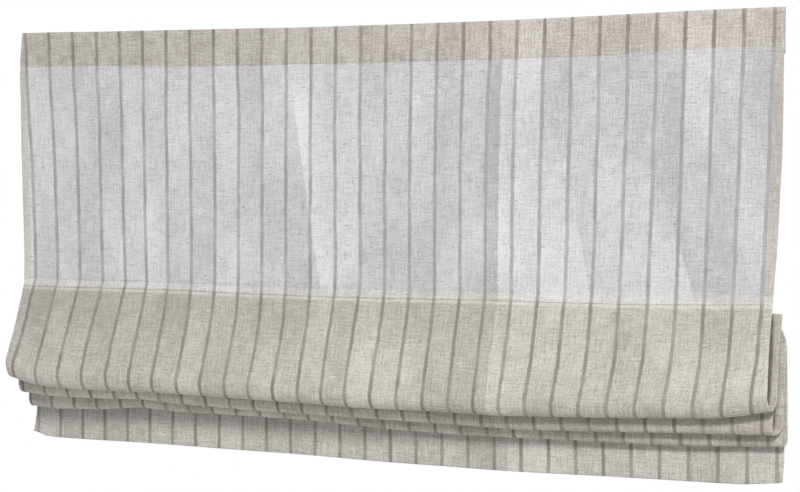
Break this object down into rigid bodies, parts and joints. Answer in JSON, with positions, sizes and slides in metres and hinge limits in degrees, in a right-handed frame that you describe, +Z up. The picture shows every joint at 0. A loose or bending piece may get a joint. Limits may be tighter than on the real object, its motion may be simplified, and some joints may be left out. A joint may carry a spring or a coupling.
{
  "type": "roman blind",
  "caption": "Striped linen roman blind held half raised: a flat panel above soft stacked folds and a weighted hem, on a spring-balanced head rail.",
  "frame": {"origin": "midway between the two wall screws, on the back face of the brackets", "axes": "+X along the blind to the right as seen from the room, +Y into the wall, +Z up"},
  "size_m": [1, 0.0768, 0.513],
  "materials": {
    "striped_linen": "plain-weave linen with thin grey stripes",
    "rail_paint": "white powder coat",
    "bracket_steel": "zinc plated",
    "shaft_steel": "drawn",
    "white_plastic": "fine spark texture",
    "tape": "hook and loop pile",
    "rod_fibre": "drawn glass fibre",
    "clear_ring": "moulded",
    "bar_aluminium": "mill"
  },
  "bodies": {
    "head": {"head_rail": "rail_paint", "rail_cap_left": "white_plastic", "rail_cap_right": "white_plastic", "bracket_left": "bracket_steel", "bracket_right": "bracket_steel", "hook_tape": "tape", "loop_tape": "tape", "upper_panel": "striped_linen", "spool_cradle_left": "white_plastic", "spool_cradle_middle": "white_plastic", "spool_cradle_right": "white_plastic", "spring_motor": "white_plastic"},
    "drive": {"lift_shaft": "shaft_steel", "cord_spool_left": "white_plastic", "cord_spool_middle": "white_plastic", "cord_spool_right": "white_plastic", "motor_hub": "shaft_steel"},
    "stack": {"folded_panel": "striped_linen", "rod_1": "rod_fibre", "rod_2": "rod_fibre", "rod_3": "rod_fibre", "rod_4": "rod_fibre", "lift_ring_1_left": "clear_ring", "lift_ring_1_middle": "clear_ring", "lift_ring_1_right": "clear_ring", "lift_ring_2_left": "clear_ring", "lift_ring_2_middle": "clear_ring", "lift_ring_2_right": "clear_ring", "lift_ring_3_left": "clear_ring", "lift_ring_3_middle": "clear_ring", "lift_ring_3_right": "clear_ring", "lift_ring_4_left": "clear_ring", "lift_ring_4_middle": "clear_ring", "lift_ring_4_right": "clear_ring", "bottom_bar": "bar_aluminium", "bar_cap_left": "white_plastic", "bar_cap_right": "white_plastic"}
  },
  "joints": [
    {"name": "lift", "type": "slide", "parent": "head", "child": "stack", "axis": [0, 0, 1], "range_m": [0, 0.255], "deforming": ["upper_panel"]},
    {"name": "shaft_turn", "type": "hinge", "parent": "head", "child": "drive", "pos_m": [0, -0.019, 0], "axis": [1, 0, 0], "range_deg": [0, 2030]}
  ],
  "couplings": [
    {"joint": "shaft_turn", "follows": "lift", "rad_per_m": 137.93}
  ]
}
